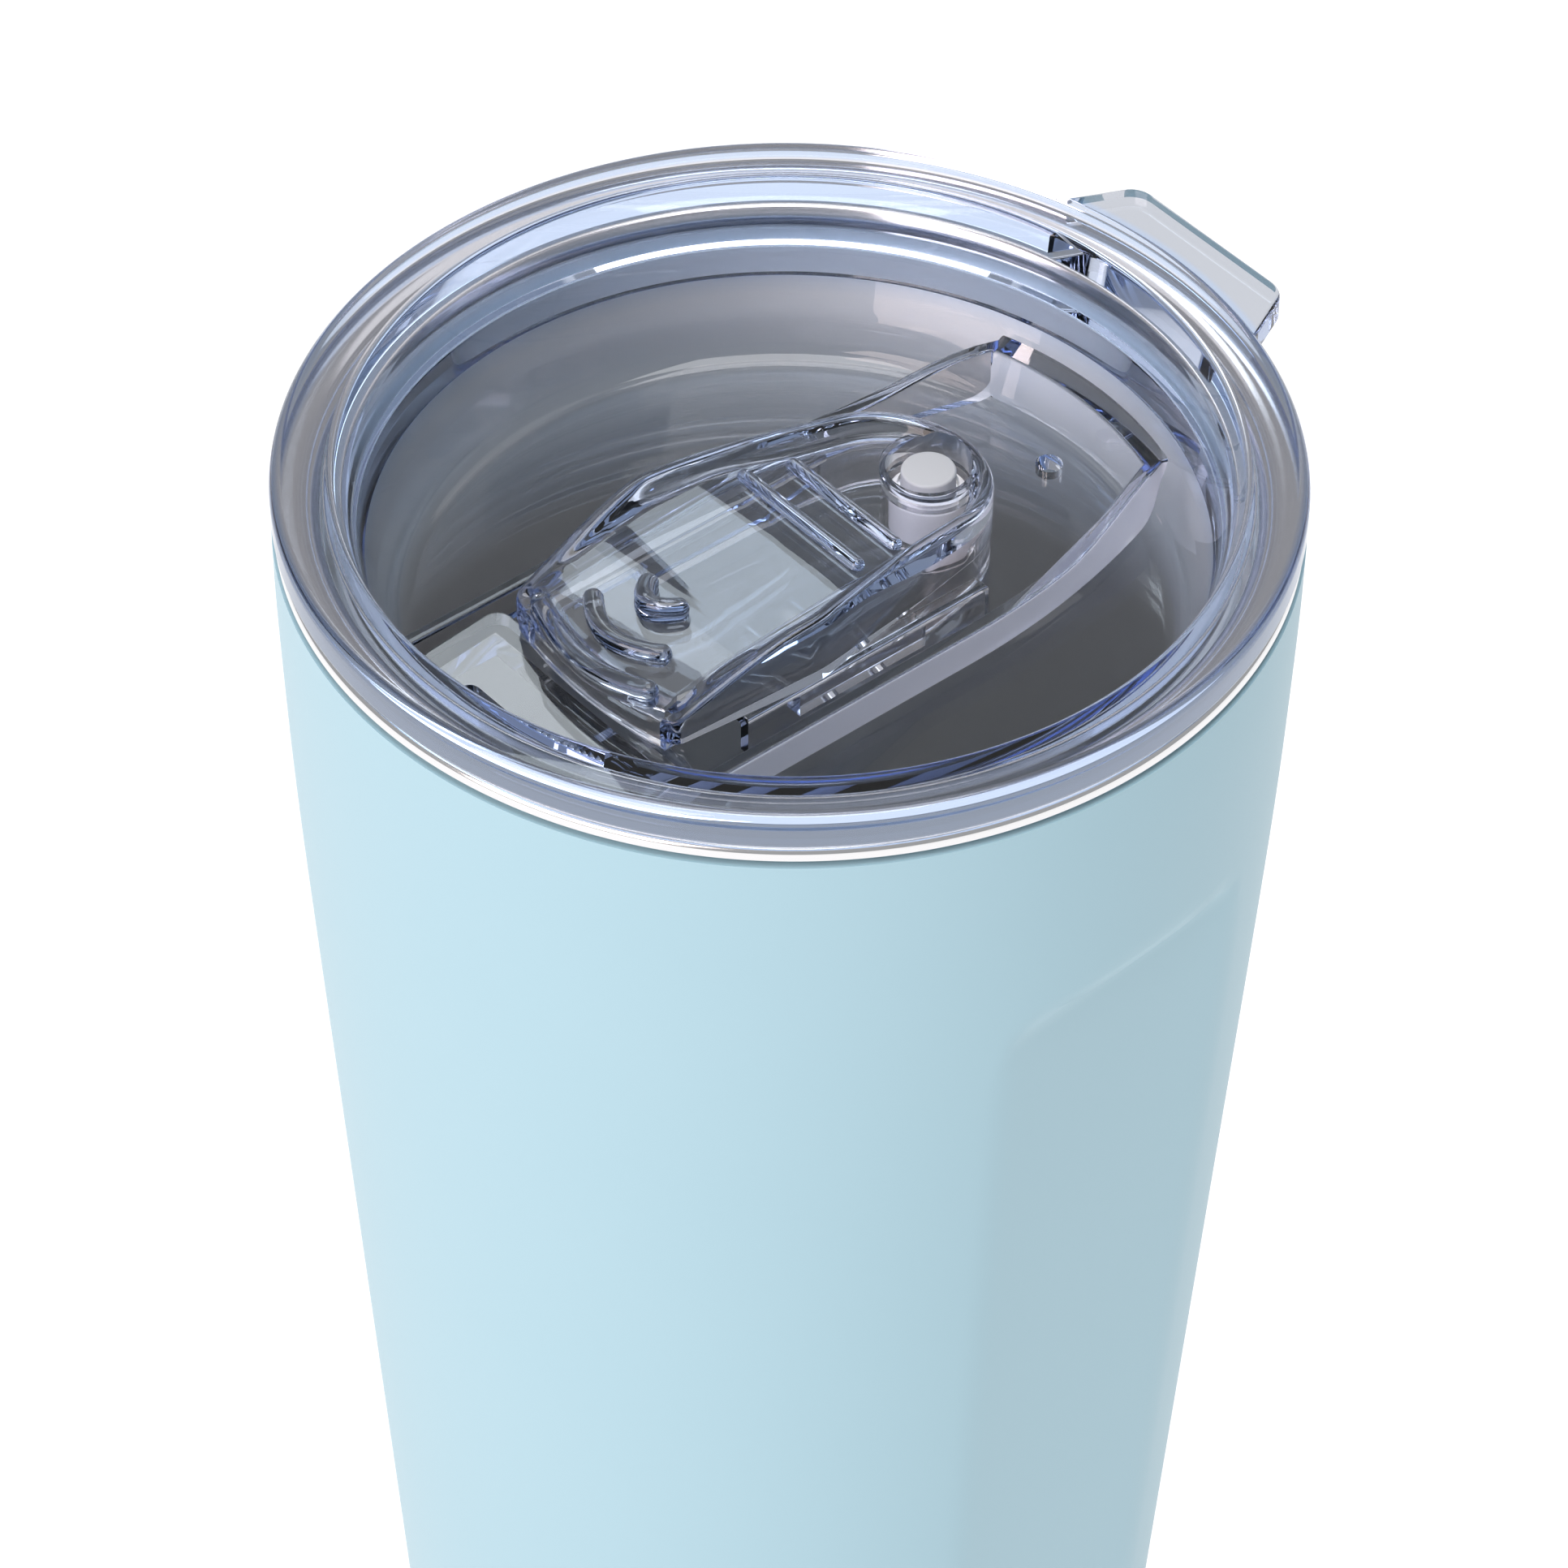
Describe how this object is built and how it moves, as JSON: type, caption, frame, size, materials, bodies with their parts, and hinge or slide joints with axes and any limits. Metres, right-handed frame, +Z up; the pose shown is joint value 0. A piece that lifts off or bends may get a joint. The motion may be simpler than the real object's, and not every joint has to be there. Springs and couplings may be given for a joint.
{
  "type": "insulated tumbler with lid",
  "caption": "Tapered double-wall steel tumbler with flat grip panels and a clear press-in lid that has a sliding closure over its drinking slot.",
  "frame": {"origin": "centre of the foot pad's flat underside, on the tumbler's axis", "axes": "+Z up along the tumbler's axis, +Y towards the lid's thumb tab, which is also the way the slider opens"},
  "size_m": [0.091, 0.0955, 0.19],
  "materials": {
    "body_paint": "satin powder coat",
    "steel": "brushed inside, polished lip",
    "base_paint": "satin powder coat",
    "seal_bead": "fused glass solder",
    "getter_metal": "sintered",
    "foot_rubber": "matte silicone",
    "clear_plastic": "clear moulded plastic",
    "gasket_silicone": "translucent silicone",
    "slider_plastic": "clear moulded plastic",
    "plug_silicone": "translucent silicone"
  },
  "bodies": {
    "cup": {"outer_shell": "body_paint", "inner_liner": "steel", "base_cap": "base_paint", "vacuum_seal": "seal_bead", "getter": "getter_metal", "foot_pad": "foot_rubber"},
    "lid": {"lid_shell": "clear_plastic", "lid_gasket": "gasket_silicone"},
    "slider": {"slider": "slider_plastic", "slider_plug": "plug_silicone"}
  },
  "joints": [
    {"name": "lid_lift", "type": "slide", "parent": "cup", "child": "lid", "axis": [0, 0, 1], "range_m": [0, 0.06]},
    {"name": "slider_travel", "type": "slide", "parent": "lid", "child": "slider", "axis": [0, 1, 0], "range_m": [-0.0095, 0.008]}
  ]
}
